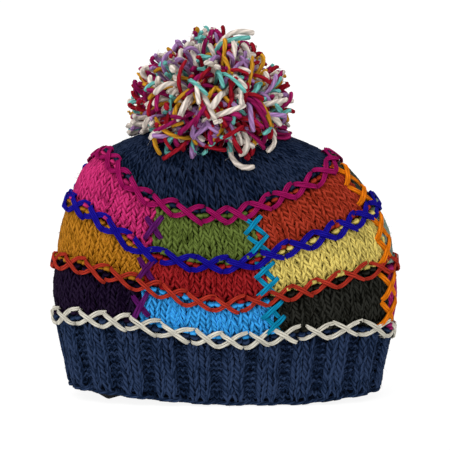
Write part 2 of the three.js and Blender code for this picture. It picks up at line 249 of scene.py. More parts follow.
class HatStage(bpy.types.PropertyGroup):
    distance: size("Distance", "From the camera to the hat", 1500)
    elevation: FloatProperty(name="Elevation", description="How far the camera looks down",
                             default=math.radians(6), subtype="ANGLE")
    aim: size("Aim", "Height that the camera looks at", 112.9)
    scale: size("Scale", "Length that one pixel covers at the hat", 0.66)
    floor_glow: ratio("Floor glow", "Light that the floor gives off", 0.9)
    floor_radius: size("Floor", "Radius of the floor", 150000)


def ease(share):
    return share * share * (3 - 2 * share)


def smooth_step(value, low, high):
    return ease(np.clip((value - low) / (high - low), 0, 1))


def unit(vectors):
    return vectors / np.maximum(np.linalg.norm(vectors, axis=-1, keepdims=True), TINY)


def hermite(share, start, end, slope_start, slope_end):
    """Cubic between two values: an eased blend of them, bent by the slopes at its two ends."""
    bend = share * (1 - share) * (slope_start * (1 - share) - slope_end * share)
    return start + (end - start) * ease(share) + bend


def centripetal_curve(points, steps):
    """Curve through points: a cubic for each span, whose end slopes come from the neighbours on either
    side, with each chord counted by its square root."""
    padded = np.vstack([2 * points[0] - points[1], points, 2 * points[-1] - points[-2]])
    gap = np.sqrt(np.linalg.norm(np.diff(padded, axis=0), axis=1))[:, None]
    before, start, end, after = padded[:-3], padded[1:-2], padded[2:-1], padded[3:]
    gap_before, gap_here, gap_after = gap[:-2], gap[1:-1], gap[2:]
    chord = (end - start) / gap_here
    slope_start = (start - before) / gap_before - (end - before) / (gap_before + gap_here) + chord
    slope_end = chord - (after - start) / (gap_here + gap_after) + (after - end) / gap_after
    share = np.linspace(0, 1, steps, endpoint=False)[None, :, None]
    spans = hermite(share, start[:, None], end[:, None],
                    (slope_start * gap_here)[:, None], (slope_end * gap_here)[:, None])
    return np.vstack([spans.reshape(-1, points.shape[1]), points[-1:]])


def length_shares(points):
    """Share of the whole length that has passed at each point."""
    length = np.concatenate([[0], np.cumsum(np.linalg.norm(np.diff(points, axis=0), axis=1))])
    return length / length[-1]


def oval_at_angle(angle):
    """Unit oval: sine and cosine, each raised to the power that makes the oval boxier than an ellipse."""
    power = 2 / SQUARENESS
    sideways = np.sign(np.sin(angle)) * np.abs(np.sin(angle)) ** power
    forwards = np.sign(np.cos(angle)) * np.abs(np.cos(angle)) ** power
    return sideways, forwards


MERIDIAN_STEPS = 200
GIRTH_STEPS = 1440
SECTION_SIZES = np.array(SECTIONS, float)[:, 1:]
SECTION_HEIGHTS = np.array(SECTIONS, float)[:, :1]
MERIDIAN = centripetal_curve(np.hstack([SECTION_SIZES, SECTION_HEIGHTS]), MERIDIAN_STEPS) * MM
MERIDIAN_SHARE = length_shares(MERIDIAN)
GIRTH_ANGLE = np.linspace(0, TURN, GIRTH_STEPS + 1)
GIRTH_SHARE = length_shares(np.stack(oval_at_angle(GIRTH_ANGLE), axis=-1) * SECTION_SIZES.max(axis=0))


def section_at(rise):
    """Half width, half depth and height at a share of the way up the meridian."""
    return [np.interp(rise, MERIDIAN_SHARE, MERIDIAN[:, k]) for k in range(3)]


def oval(turn):
    """The unit oval at a share of its girth: 0 is the front's middle and a quarter is the right end."""
    return oval_at_angle(np.interp(turn - np.floor(turn), GIRTH_SHARE, GIRTH_ANGLE))


def lean_at(height):
    return CROWN_LEAN * MM * smooth_step(height, LEAN_START * MM, CROWN_TOP * MM)


def surface(turn, rise):
    """Point on the hat: the oval, scaled by the section at that rise and shifted by the crown's lean."""
    sideways, forwards = oval(turn)
    half_width, half_depth, height = section_at(rise)
    return np.stack(np.broadcast_arrays(
        lean_at(height) + half_width * sideways, -half_depth * forwards, height), axis=-1)


def change(turn, rise, turn_step, rise_step):
    """Step on the hat from just before a place to just after it."""
    return surface(turn + turn_step, rise + rise_step) - surface(turn - turn_step, rise - rise_step)


def step_round(turn, rise):
    """Length on the hat of one unit of turn."""
    return np.linalg.norm(change(turn, rise, SMALL, 0), axis=-1) / (2 * SMALL)


def step_up(turn, rise):
    """Length on the hat of one unit of rise."""
    return np.linalg.norm(change(turn, rise, 0, SMALL), axis=-1) / (2 * SMALL)


def raised(turn, rise, proud):
    """Point of the hat moved out along its normal, and the normal: the cross product of its two steps."""
    inside = np.clip(rise, SMALL, 1 - 2 * SMALL)
    normal = unit(np.cross(change(turn, inside, SMALL, 0), change(turn, inside, 0, SMALL)))
    return surface(turn, rise) + normal * np.asarray(proud)[..., None], normal


def rise_at_height(height):
    return np.interp(height, MERIDIAN[:, 2], MERIDIAN_SHARE)


def seam_height(course, turn):
    """Height of a seam line: a smooth curve through its heights at the stations either side."""
    count = len(STATION_TURNS)
    here = turn - np.floor(turn)
    place = np.searchsorted(STATION_TURNS, here, side="right") - 1
    heights = np.array(course, float) * MM
    turns = np.array(STATION_TURNS)

    def knot(step):
        index = place + step
        return turns[index % count] + index // count, heights[index % count]

    (turn_a, a), (turn_b, b), (turn_c, c), (turn_d, d) = knot(-1), knot(0), knot(1), knot(2)
    span = turn_c - turn_b
    return hermite((here - turn_b) / span, b, c,
                   (c - a) / (turn_c - turn_a) * span, (d - b) / (turn_d - turn_b) * span)


def seam_rise(course, turn):
    return rise_at_height(seam_height(course, turn))


def rim_height(turn):
    return np.maximum(0, seam_height(RIM, turn))


def column_seam(number, height):
    """Turn of the seam at the left of a column: its place at one level, moved by its slant elsewhere."""
    number, lap = number % len(COLUMNS), number // len(COLUMNS)
    stitch = FIRST_SEAM + sum(column.stitches for column in COLUMNS[:number]) + lap * STITCHES_AROUND
    return (stitch + COLUMNS[number].slant * (height / MM - SLANT_LEVEL) / 100) / STITCHES_AROUND


def ring_field(low, high):
    """The whole ring of the hat between two lines, each a rise for a turn."""
    def place(across, up):
        base = low(across)
        return across, base + (high(across) - base) * up
    return place


FIELD_PASSES = 3


def patch_field(number, level):
    """One patch: the share across runs between the column seams at that height, and the share up runs
    between the row seams at that turn. Each depends on the other, so both take a few passes."""
    def place(across, up):
        height = np.full(np.broadcast(across, up).shape, SLANT_LEVEL * MM)
        for _ in range(FIELD_PASSES):
            left, right = column_seam(number, height), column_seam(number + 1, height)
            turn = left + (right - left) * across
            base, top = seam_rise(COURSES[level], turn), seam_rise(COURSES[level + 1], turn)
            rise = base + (top - base) * up
            height = section_at(rise)[2]
        return turn, rise
    return place


HALVINGS = 24


def crown_height(x, y):
    """Height of the hat over a point of the ground, found by halving the meridian."""
    low = np.zeros(np.shape(x))
    high = np.ones(np.shape(x))
    for _ in range(HALVINGS):
        middle = (low + high) / 2
        half_width, half_depth, height = section_at(middle)
        across = np.abs(x - lean_at(height)) / np.maximum(half_width, TINY)
        along = np.abs(y) / np.maximum(half_depth, TINY)
        inside = across ** SQUARENESS + along ** SQUARENESS < 1
        low = np.where(inside, middle, low)
        high = np.where(inside, high, middle)
    return section_at(low)[2]


# Loose fibres of the wool: bends, lean and lengths are shares of the longest fibre, and their shade
# brightens them, a painted highlight as they catch the light
FIBRE = Named(steps=3, sides=3, radius=0.08 * MM, back=0.3, lean=0.45, bend=0.4, lengths=(0.4, 1.0),
              taper=0.6, shade=1.1)
# The cosine round a yarn at which the painted flank shade leaves its shade as it is
FLANK_LEVEL = 0.4
# Millimetres of a wall's height for one turn of the yarn's plies
WALL_PLY = 8


class Piece:
    """Gathers swept yarns and walls, then makes one mesh object of them."""

    def __init__(self):
        self.points, self.shades = [], []
        self.faces = {4: [], 3: []}
        self.total = 0

    def add(self, points, shade, slot, *blocks):
        """Add a block of points and blocks of faces, each with its corners and their texture places."""
        self.points.append(points.reshape(-1, 3))
        self.shades.append(np.broadcast_to(shade, points.shape[:-1]).reshape(-1))
        for corners, uv in blocks:
            sides = corners.shape[-1]
            corners = corners.reshape(-1, sides) + self.total
            self.faces[sides].append((corners, uv.reshape(-1, 2), np.full(len(corners), slot)))
        self.total += points.size // 3

    def sweep(self, path, normal, radius, sides, shade=1.0, closed=False, slot=0, flank_shade=0.0):
        """Carry a ring along each path: the ring lies square to the path, its first point on the side away
        from the surface normal. path is (yarns, steps, 3), normal the same, radius and shade (yarns,
        steps). Painted shade darkens the yarn by the flank shade from the side that faces out to the side
        that faces in, as a cosine round the ring. Gives back the points that face out and the directions
        that they face."""
        yarns, steps = path.shape[:2]
        if closed:
            ahead = np.roll(path, -1, axis=1) - np.roll(path, 1, axis=1)
        else:
            ahead = np.gradient(path, axis=1)
        ahead = unit(ahead)
        across = unit(np.cross(ahead, normal))
        outward = np.cross(across, ahead)
        angle = np.pi + TURN * np.arange(sides) / sides
        ring = np.cos(angle)[:, None] * outward[:, :, None] + np.sin(angle)[:, None] * across[:, :, None]
        radius = np.broadcast_to(radius, (yarns, steps))
        points = path[:, :, None] + ring * radius[:, :, None, None]
        shade = np.broadcast_to(shade, (yarns, steps))
        # Painted shade: darker towards the side of the ring that faces in
        ring_shade = shade[:, :, None] * (1 + flank_shade * (np.cos(angle) - FLANK_LEVEL))

        def index(yarn, step, side):
            return (yarn * steps + step % steps) * sides + side % sides

        spans = steps if closed else steps - 1
        yarn, step, side = np.meshgrid(np.arange(yarns), np.arange(spans), np.arange(sides), indexing="ij")
        quads = np.stack([index(yarn, step, side), index(yarn, step, side + 1),
                          index(yarn, step + 1, side + 1), index(yarn, step + 1, side)], axis=-1)
        hop = np.linalg.norm(np.diff(path, axis=1), axis=-1)
        length = np.concatenate([np.zeros((yarns, 1)), np.cumsum(hop, axis=1)], axis=1) / MM
        here = length[yarn, step]
        there = np.where(step + 1 < steps, length[yarn, (step + 1) % steps], here + 1)
        low, high = side / sides, (side + 1) / sides
        quad_uv = np.stack([here, low, here, high, there, high, there, low], axis=-1)
        front = sides // 2
        skin = points[:, :, front].reshape(-1, 3), ring[:, :, front].reshape(-1, 3)
        if closed:
            self.add(points, ring_shade, slot, (quads, quad_uv))
            return skin
        yarn, side = yarn[:, 0], side[:, 0]
        centre = yarns * steps * sides + 2 * yarn
        last = steps - 1
        fans = np.stack([
            np.stack([centre, index(yarn, 0, side + 1), index(yarn, 0, side)], -1),
            np.stack([centre + 1, index(yarn, last, side), index(yarn, last, side + 1)], -1)])
        fan_uv = np.broadcast_to([0.0, 0.5], fans.shape + (2,))
        all_points = np.vstack([points.reshape(-1, 3), path[:, [0, -1]].reshape(-1, 3)])
        all_shades = np.concatenate([ring_shade.reshape(-1), shade[:, [0, -1]].reshape(-1)])
        self.add(all_points, all_shades, slot, (quads, quad_uv), (fans, fan_uv))
        return skin

    def fibres(self, skin, count, length, rng, slot=0):
        """Loose fibres: each springs from a point of a yarn's skin, outwards and to a side by chance, and
        bends over as the square of its length while it thins to its end."""
        pick = rng.integers(0, len(skin[0]), count)
        foot, out = skin[0][pick][:, None], skin[1][pick][:, None]
        tau = np.linspace(0, 1, FIBRE.steps)[None, :, None]
        side = rng.normal(0, 1, (count, 2, 1, 3))
        way = out * (tau - FIBRE.back * tau ** 2)
        way = way + FIBRE.lean * side[:, 0] * tau + FIBRE.bend * side[:, 1] * tau ** 2
        path = foot + length * rng.uniform(*FIBRE.lengths, (count, 1, 1)) * way
        path[..., 2] = np.maximum(path[..., 2], 2 * FIBRE.radius)
        normal = unit(np.cross(np.gradient(path, axis=1), rng.normal(0, 1, (count, 1, 3))))
        radius = FIBRE.radius * (1 - FIBRE.taper * tau[..., 0])
        self.sweep(path, normal, radius, FIBRE.sides, FIBRE.shade, slot=slot)

    def wall(self, outer, inner, shade=1.0, ring=False, slot=0):
        """Close the room between two grids of (rows, columns, 3): two skins and a strip round the edge."""
        rows, columns = outer.shape[:2]
        last, end = rows - 1, columns - 1

        def strip(*corners):
            return np.stack([(skin * rows + row) * columns + column % columns
                             for skin, row, column in corners], -1).reshape(-1, 4)

        c = np.arange(columns if ring else end)
        r = np.arange(last)
        row, column = np.meshgrid(r, c, indexing="ij")
        sheets = [
            strip((0, row, column), (0, row, column + 1), (0, row + 1, column + 1), (0, row + 1, column)),
            strip((1, row, column), (1, row + 1, column), (1, row + 1, column + 1), (1, row, column + 1)),
            strip((1, 0, c), (1, 0, c + 1), (0, 0, c + 1), (0, 0, c)),
            strip((0, last, c), (0, last, c + 1), (1, last, c + 1), (1, last, c)),
        ]
        if not ring:
            sheets.append(strip((1, r, 0), (0, r, 0), (0, r + 1, 0), (1, r + 1, 0)))
            sheets.append(strip((0, r, end), (1, r, end), (1, r + 1, end), (0, r + 1, end)))
        points = np.stack([outer, inner])
        quads = np.vstack(sheets)
        flat = points.reshape(-1, 3)[quads] / MM
        quad_uv = np.stack([flat[..., 0] + flat[..., 1], flat[..., 2] / WALL_PLY], -1)
        self.add(points, shade, slot, (quads, quad_uv))

    def make(self, name, materials, node=None):
        """Put the arrays into a mesh object that rides on the hat, and may stand for a node of it."""
        points = np.vstack(self.points)
        blocks = self.faces[4] + self.faces[3]
        corners = np.concatenate([block.reshape(-1) for block, _, _ in blocks])
        sides = np.concatenate([np.full(len(block), block.shape[1]) for block, _, _ in blocks])
        uv = np.vstack([places for _, places, _ in blocks])
        slots = np.concatenate([numbers for _, _, numbers in blocks])
        mesh = bpy.data.meshes.new(name)
        mesh.vertices.add(len(points))
        mesh.vertices.foreach_set("co", points.astype(np.float32).reshape(-1))
        mesh.loops.add(len(corners))
        mesh.loops.foreach_set("vertex_index", corners.astype(np.int32))
        mesh.polygons.add(len(sides))
        mesh.polygons.foreach_set("loop_start", (np.cumsum(sides) - sides).astype(np.int32))
        mesh.polygons.foreach_set("material_index", slots.astype(np.int32))
        mesh.polygons.foreach_set("use_smooth", np.ones(len(sides), bool))
        mesh.update(calc_edges=True)
        mesh.uv_layers.new(name="yarn").data.foreach_set("uv", uv.astype(np.float32).reshape(-1))
        shade = mesh.attributes.new("shade", "FLOAT", "POINT")
        shade.data.foreach_set("value", np.concatenate(self.shades).astype(np.float32))
        mesh.validate()
        for material in materials:
            mesh.materials.append(material)
        piece = bpy.data.objects.new(name, mesh)
        bpy.context.scene.collection.objects.link(piece)
        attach(piece, "root")
        if node:
            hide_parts(node)
        return piece


class Nodes:
    """Short way to add and link shader nodes."""

    def __init__(self, name):
        self.material = bpy.data.materials.new(name)
        self.material.use_nodes = True
        self.tree = self.material.node_tree

    def add(self, kind, inputs=(), **settings):
        node = self.tree.nodes.new(kind)
        for key, value in settings.items():
            setattr(node, key, value)
        self.feed(node, inputs)
        return node

    def feed(self, node, inputs):
        for key, value in dict(inputs).items():
            if isinstance(value, bpy.types.NodeSocket):
                self.tree.links.new(value, node.inputs[key])
            else:
                node.inputs[key].default_value = value

    def math(self, operation, *values):
        return self.add("ShaderNodeMath", enumerate(values), operation=operation).outputs[0]

    def spot(self):
        return self.add("ShaderNodeTexCoord").outputs["Object"]

    def noise(self, place, scale, detail, roughness=0.5):
        return self.add("ShaderNodeTexNoise", {
            "Vector": place, "Scale": scale, "Detail": detail, "Roughness": roughness}).outputs["Fac"]

    def ramp(self, factor, first, last, *between):
        """Colour for a factor, from pairs of a position and a colour."""
        node = self.add("ShaderNodeValToRGB", {"Fac": factor})
        elements = node.color_ramp.elements
        for element, (position, colour) in zip(elements, (first, last)):
            element.position = position
            element.color = colour
        for position, colour in between:
            elements.new(position).color = colour
        return node.outputs[0]

    def bump(self, height, strength, distance):
        return self.add("ShaderNodeBump", {
            "Strength": strength, "Distance": distance, "Height": height}).outputs[0]

    def coat(self, inputs):
        """Set the surface, and give back the finished material."""
        self.feed(self.tree.nodes["Principled BSDF"], inputs)
        return self.material


def tone(colour, factor, white=0.0):
    return [min(1.0, channel * factor * (1 - white) + white) for channel in colour] + [1.0]


# Shares of the plies, the streaks along them and a third noise in the wool's colour and relief
COLOUR_GRAIN = Named(ply=0.30, streak=0.45, third=0.25)
RELIEF_GRAIN = Named(ply=0.6, streak=0.5, third=0.25)
# How far the streaks' noise runs for each millimetre along the yarn and across each ply
STREAK_ALONG = 0.22
STREAK_ACROSS = 3.5
# How much darker the grooves are, which is painted shade, and how much brighter the fibres are,
# partly pale fibres and partly painted highlight, than the wool, and where each lies on the ramp
GROOVE_SHADE = Named(tone=0.65, place=0.22)
PLAIN_PLACE = 0.5
PALE_FIBRE_AND_HIGHLIGHT = Named(tone=0.85, place=0.82)


def wool_material(name, colour, plies=3, pitch=7.0, contrast=1.0, fleck=0.008):
    """Spun wool: plies wind round the yarn as a sine of length and turn, fibres streak along them as
    stretched noise, and both lift the surface and darken the grooves between them, which is painted
    shade. The ramp's bright end is partly pale fibres and partly a painted highlight."""
    nodes = Nodes(name)
    place = nodes.add("ShaderNodeUVMap", uv_map="yarn").outputs[0]
    along, around, _ = nodes.add("ShaderNodeSeparateXYZ", {0: place}).outputs
    winding = nodes.math("ADD", nodes.math("MULTIPLY", along, 1 / pitch),
                         nodes.math("MULTIPLY", around, float(plies)))
    ply = nodes.math("MULTIPLY_ADD", nodes.math("SINE", nodes.math("MULTIPLY", winding, TURN)), 0.5, 0.5)
    streak_place = nodes.add("ShaderNodeCombineXYZ", {
        0: nodes.math("MULTIPLY", along, STREAK_ALONG), 1: nodes.math("MULTIPLY", winding, STREAK_ACROSS)})
    streak = nodes.noise(streak_place.outputs[0], scale=1.6, detail=4.0, roughness=0.65)
    spot = nodes.spot()
    mottle = nodes.noise(spot, scale=130.0, detail=3.0)
    fuzz = nodes.noise(spot, scale=2400.0, detail=3.0)

    def blend(grain, third):
        both = nodes.math("MULTIPLY_ADD", ply, grain.ply, nodes.math("MULTIPLY", streak, grain.streak))
        return nodes.math("MULTIPLY_ADD", third, grain.third, both)

    # The shade attribute holds random tone and painted shade at the yarn's back and in recesses
    shade = nodes.add("ShaderNodeAttribute", attribute_name="shade").outputs["Fac"]
    mix = nodes.math("MULTIPLY", blend(COLOUR_GRAIN, mottle), shade)
    dark = tone(colour, 1 - GROOVE_SHADE.tone * contrast)
    # Bright end: partly pale fibres and partly painted highlight, whitened a little
    bright = tone(colour, 1 + PALE_FIBRE_AND_HIGHLIGHT.tone * contrast, fleck * contrast)
    return nodes.coat({
        "Base Color": nodes.ramp(mix, (GROOVE_SHADE.place, dark), (PALE_FIBRE_AND_HIGHLIGHT.place, bright),
                                 (PLAIN_PLACE, tone(colour, 1))),
        "Normal": nodes.bump(blend(RELIEF_GRAIN, fuzz), strength=0.7, distance=0.5 * MM),
        "Roughness": 0.92,
        "Specular IOR Level": 0.03,
        "Sheen Weight": 0.03,
        "Sheen Roughness": 0.45,
        "Sheen Tint": tone(colour, 1.2, 0.1),
    })


# Loose fibres catch the light and show more on wools whose brightest channel is below a limit: these
# get a stronger contrast, with deeper painted shade in the grooves and a brighter painted highlight
DARK_LIMIT = 0.08
DARK_CONTRAST = 1.35
# White in the ramp's bright end is partly pale fibres and partly painted highlight; the purple wool is
# dyed through, with few pale fibres, and gets less
FLECKS_AND_GLINTS = {"aubergine": 0.004}
# Twist and contrast of the sewing yarn and of the pompom's yarn
SEWING_TWIST = {"plies": 2, "pitch": 9.0, "contrast": 0.6}
POM_TWIST = {"plies": 3, "pitch": 8.0, "contrast": 0.7}


def wool(context, name, **settings):
    """The material of one wool, made the first time that it is asked for."""
    label = f"{name}_wool"
    made = bpy.data.materials.get(label)
    if made:
        return made
    colour = getattr(context.scene.hat_colours, name)
    settings.setdefault("contrast", DARK_CONTRAST if max(colour) < DARK_LIMIT else 1.0)
    if name in FLECKS_AND_GLINTS:
        settings["fleck"] = FLECKS_AND_GLINTS[name]
    return wool_material(label, colour, **settings)


TUFT_SHARE = 0.6


def fleece_material(colour):
    """Brushed fleece: two sizes of noise make small tufts that catch the light."""
    nodes = Nodes("charcoal_fleece")
    spot = nodes.spot()
    tuft = nodes.noise(spot, scale=700.0, detail=4.0)
    patch = nodes.noise(spot, scale=90.0, detail=2.0)
    mix = nodes.math("MULTIPLY_ADD", patch, 1 - TUFT_SHARE, nodes.math("MULTIPLY", tuft, TUFT_SHARE))
    return nodes.coat({
        "Base Color": nodes.ramp(mix, (0.3, tone(colour, 0.5)), (0.75, tone(colour, 1.6, 0.005))),
        "Normal": nodes.bump(mix, strength=0.8, distance=0.6 * MM),
        "Roughness": 0.95,
        "Specular IOR Level": 0.1,
        "Sheen Weight": 0.3,
    })


class Loops:
    """Rows of knit loops. With t running a full turn for each loop, the yarn goes along by t, leans by the
    sine of 2t so that the legs draw together at the foot, climbs and falls by the cosine of t, and swings
    out by the cosine of 2t so that the legs lie in front and the head and foot behind. along counts
    stitches and climb counts rows."""

    def __init__(self, knit, rows, count, ring, rng, first=0):
        self.knit, self.rows, self.count, self.ring, self.rng = knit, rows, count, ring, rng
        samples = count * knit.steps + (0 if ring else 1)
        t = TURN * np.arange(samples) / knit.steps
        self.stitch = t / TURN
        self.along = self.stitch + knit.lean * np.sin(2 * t)
        self.climb = np.arange(first, first + rows)[:, None] + 0.5 - knit.reach * np.cos(t)
        self.swing = -np.cos(2 * t)

    def uneven(self, amount, knots=1):
        """Unevenness that changes slowly along each row: chance values, one or more for each loop, joined
        by straight lines. In a ring the last meets the first."""
        count = knots * self.count
        width = count if self.ring else count + 2
        values = self.rng.normal(0, amount, (self.rows, width))
        place = knots * self.stitch
        low = np.floor(place).astype(int)
        part = place - low
        return values[:, low % width] * (1 - part) + values[:, (low + 1) % width] * part

    def knit_in(self, piece, turn, rise, proud, radius, shade):
        """Sweep the yarn along the rows, and add its loose fibres."""
        path, normal = raised(turn, rise, proud)
        skin = piece.sweep(path, normal, radius, self.knit.sides, shade, self.ring, flank_shade=self.knit.flank_shade)
        fibres = round(self.knit.fibres * self.rows * self.count)
        piece.fibres(skin, fibres, self.knit.fibre, self.rng)


ROW_SEED = 41
BACK_CHANCE = 0.15


def cross_places(seam, rng):
    """Places of the crosses in stitches: those of the front, then even steps round the back, and the mean
    distance from each to its neighbours."""
    front = np.array(seam.front_crosses)
    gap = front[0] + STITCHES_AROUND - front[-1]
    more = round(gap / ROW_PITCH) - 1
    back = front[-1] + gap * (np.arange(more) + 1) / (more + 1) + rng.normal(0, BACK_CHANCE, more)
    crosses = np.concatenate([front, back])
    ahead = np.roll(crosses, -1)
    ahead[-1] += STITCHES_AROUND
    behind = np.roll(crosses, 1)
    behind[0] -= STITCHES_AROUND
    return crosses, (ahead - behind) / 2


def lens_share(number, turn):
    """How far a place on a row seam lies inside the lens between crosses: a cosine, 0 at one, 1 midway."""
    crosses, pitch = cross_places(ROW_SEAMS[number], np.random.default_rng(ROW_SEED + number))
    half = STITCHES_AROUND / 2
    away = np.mod(turn[..., None] * STITCHES_AROUND - crosses + half, STITCHES_AROUND) - half
    nearest = np.argmin(np.abs(away), axis=-1)
    near = np.take_along_axis(away, nearest[..., None], axis=-1)[..., 0] / pitch[nearest]
    return 0.5 - 0.5 * np.cos(TURN * np.clip(near, -0.5, 0.5))


# Bumps of a bound-off edge in millimetres, with the half width in stitches and the thickness in yarns
BUMP = Named(steps=7, half_width=0.27, inset=1, lift=0.6, lean=0.8, depth=2.8, height=2.7, lens=1.35,
             thickness=1.2)
# Spreads of a bump's place in stitches, shift and height in millimetres, thickness and shade
BUMP_CHANCE = Named(place=0.12, shift=0.6, height=0.2, thickness=0.08, shade=0.1)
# Bumps for each loop of a patch's edge
KNOBS = 1.25


def edge_loops(piece, knit, place, count, up, toward, seam, rng):
    """Row of small bumps where a piece is bound off: half rings that rise out of the edge and lean over it,
    higher inside the lenses of the row of crosses that is sewn over them."""
    def chance(amount):
        return rng.normal(0, amount, (count, 1))

    tau = np.linspace(0, math.pi, BUMP.steps)[None, :]
    stitch = np.arange(count)[:, None] + chance(BUMP_CHANCE.place)
    across = np.clip((stitch + 0.5 - BUMP.half_width * np.cos(tau)) / count, 0, 1)
    turn, rise = place(across, np.full(across.shape, float(up)))
    inwards = toward * (BUMP.inset + BUMP.lean * np.sin(tau))
    rise = rise + (inwards + BUMP.lift + chance(BUMP_CHANCE.shift)) * MM / step_up(turn, rise)
    height = BUMP.height + BUMP.lens * lens_share(seam, turn) + chance(BUMP_CHANCE.height)
    path, normal = raised(turn, rise, (height * np.sin(tau) - BUMP.depth) * MM)
    radius = BUMP.thickness * knit.yarn * (1 + chance(BUMP_CHANCE.thickness))
    piece.sweep(path, normal, radius, knit.sides, 1 + chance(BUMP_CHANCE.shade), flank_shade=knit.flank_shade)


CORE_MARGIN = 0.03
# Painted shade on the walls that close the gaps behind the loops and among the pompom's strands
CORE_PAINTED_SHADE = 0.6


def knit_core(piece, place, ring, depths=(3.0, 4.4), columns=40, rows=10):
    """Thin wall inside the loops, between two depths in millimetres, which closes the gaps between them.
    It is darkened by painted shade, as the gaps between the loops lie in shade.
    """
    across = np.linspace(0, 1, columns, endpoint=not ring)[None, :] + np.zeros((rows, 1))
    up = np.linspace(CORE_MARGIN, 1 - CORE_MARGIN, rows)[:, None] + np.zeros((1, columns))
    turn, rise = place(across, up)
    skins = [raised(turn, rise, np.full(rise.shape, -depth * MM))[0] for depth in depths]
    # The wall carries painted shade
    piece.wall(skins[0], skins[1], CORE_PAINTED_SHADE, ring)


# How deep the middle of the loops lies under the hat's outer surface, in millimetres
LOOP_DEPTH = 2.1
# How much brighter a loop's front is than its head and foot, which is painted shade on the parts
# that lie deeper in the fabric, and the spread of the yarn's thickness
PAINTED_SHADE_SWING = 0.3
THICKNESS_CHANCE = 0.07
# A patch: the margin at its row seams is a share, and the puff and depth are in millimetres
PATCH = Named(margin=0.03, puff=1.4, depth_chance=0.12, shade_chance=0.19, probes=9, fewest_rows=3,
              seed=100)


def knit_patch(piece, knit, number, level, rng):
    """Flat knitting between its seams: rows of loops at even shares of the height, over a thin inner wall.
    It puffs out by the sine of the share."""
    place = patch_field(number, level)
    spots = np.linspace(0, 1, PATCH.probes)
    tall = np.mean(np.linalg.norm(surface(*place(spots, 1)) - surface(*place(spots, 0)), axis=-1))
    turn, rise = place(spots, 0.5)
    wide = (turn[-1] - turn[0]) * np.mean(step_round(turn, rise))
    count = round(float(wide) / knit.stitch)
    spill = knit.reach - 0.5
    rows = max(PATCH.fewest_rows, round(float(tall) / knit.row_height - 2 * spill))
    loops = Loops(knit, rows, count, False, rng)
    along = loops.along + loops.uneven(knit.wander)
    climb = loops.climb + loops.uneven(knit.wander)
    share = (climb + spill) / (rows + 2 * spill)
    turn, rise = place(along / count, PATCH.margin + (1 - 2 * PATCH.margin) * share)
    puff = PATCH.puff * (np.sin(math.pi * np.clip(share, 0, 1)) - 0.5)
    proud = (puff - LOOP_DEPTH) * MM + knit.depth * loops.swing + loops.uneven(PATCH.depth_chance * MM)
    radius = knit.yarn * (1 + loops.uneven(THICKNESS_CHANCE))
    # Painted shade: the head and foot, deeper in the fabric, are darker than the legs
    shade = 1 + loops.uneven(PATCH.shade_chance, 2) + PAINTED_SHADE_SWING * loops.swing
    loops.knit_in(piece, turn, rise, proud, radius, shade)
    knit_core(piece, place, ring=False)
    knobs = round(KNOBS * count)
    edge_loops(piece, knit, place, knobs, 0, 1, level, rng)
    edge_loops(piece, knit, place, knobs, 1, -1, level + 1, rng)


class HAT_OT_knit_patches(bpy.types.Operator):
    """Knit the patches of the three rows"""
    bl_idname = "hat.knit_patches"
    bl_label = "Knit patches"

    def execute(self, context):
        for number, column in enumerate(COLUMNS):
            for level, row in enumerate(LEVELS):
                name = getattr(column, row)
                piece = Piece()
                rng = np.random.default_rng(PATCH.seed * (number + 1) + level)
                knit_patch(piece, context.scene.hat_knit, number, level, rng)
                piece.make(f"{row}_knit_{number + 1}", [wool(context, name)],
                           f"{row}_patch_{number + 1}")
        return {"FINISHED"}


# Rows of the crown from its seam upwards, in groups with the same number of loops
CrownGroup = namedtuple("CrownGroup", "rows loops")
CROWN_GROUPS = (
    CrownGroup(5, 74),
    CrownGroup(3, 60),
    CrownGroup(3, 48),
    CrownGroup(3, 36),
    CrownGroup(3, 24),
    CrownGroup(2, 12),
)
# The crown: rises where its loops and inner wall end, and widths of a loop within which the yarn thins
CROWN = Named(tip=0.96, core_tip=0.985, shares=(0.004, 0.995), widths=(0.3, 1.1), thinning=0.7,
              depth_chance=0.15, shade_chance=0.24, seed=7)


class HAT_OT_knit_crown(bpy.types.Operator):
    """Knit the crown in rounds that lose loops towards the top"""
    bl_idname = "hat.knit_crown"
    bl_label = "Knit crown"

    def execute(self, context):
        knit = context.scene.hat_knit
        rng = np.random.default_rng(CROWN.seed)
        piece = Piece()
        spill = knit.reach - 0.5
        total = sum(group.rows for group in CROWN_GROUPS)
        done = 0
        for group in CROWN_GROUPS:
            loops = Loops(knit, group.rows, group.loops, True, rng, done)
            turn = (loops.along + loops.uneven(knit.wander)) / group.loops
            climb = loops.climb + loops.uneven(knit.wander)
            share = np.clip((climb + spill) / (total + 2 * spill), *CROWN.shares)
            base = self.seam(turn)
            rise = base + (CROWN.tip - base) * share
            proud = -LOOP_DEPTH * MM + knit.depth * loops.swing + loops.uneven(CROWN.depth_chance * MM)
            width = step_round(turn, rise) / group.loops / knit.stitch
            thin = np.clip(width, *CROWN.widths) ** CROWN.thinning
            radius = knit.yarn * thin * (1 + loops.uneven(THICKNESS_CHANCE))
            # Painted shade: the head and foot, deeper in the fabric, are darker than the legs
            shade = 1 + loops.uneven(CROWN.shade_chance) + PAINTED_SHADE_SWING * loops.swing
            loops.knit_in(piece, turn, rise, proud, radius, shade)
            done += group.rows
        place = ring_field(self.seam, lambda turn: np.full(np.shape(turn), CROWN.core_tip))
        knit_core(piece, place, ring=True, columns=80, rows=18)
        edge_loops(piece, knit, place, CROWN_GROUPS[0].loops, 0, 1, len(COURSES) - 1, rng)
        piece.make("crown_knit", [wool(context, "night")], "crown")
        return {"FINISHED"}

    @staticmethod
    def seam(turn):
        return seam_rise(COURSES[-1], turn)


# The ribs: stitches of one repeat, and the relief and row in millimetres
RIB = Named(repeat=4, swell=0.42, relief=1.55, edge=3.5, row=3.9)
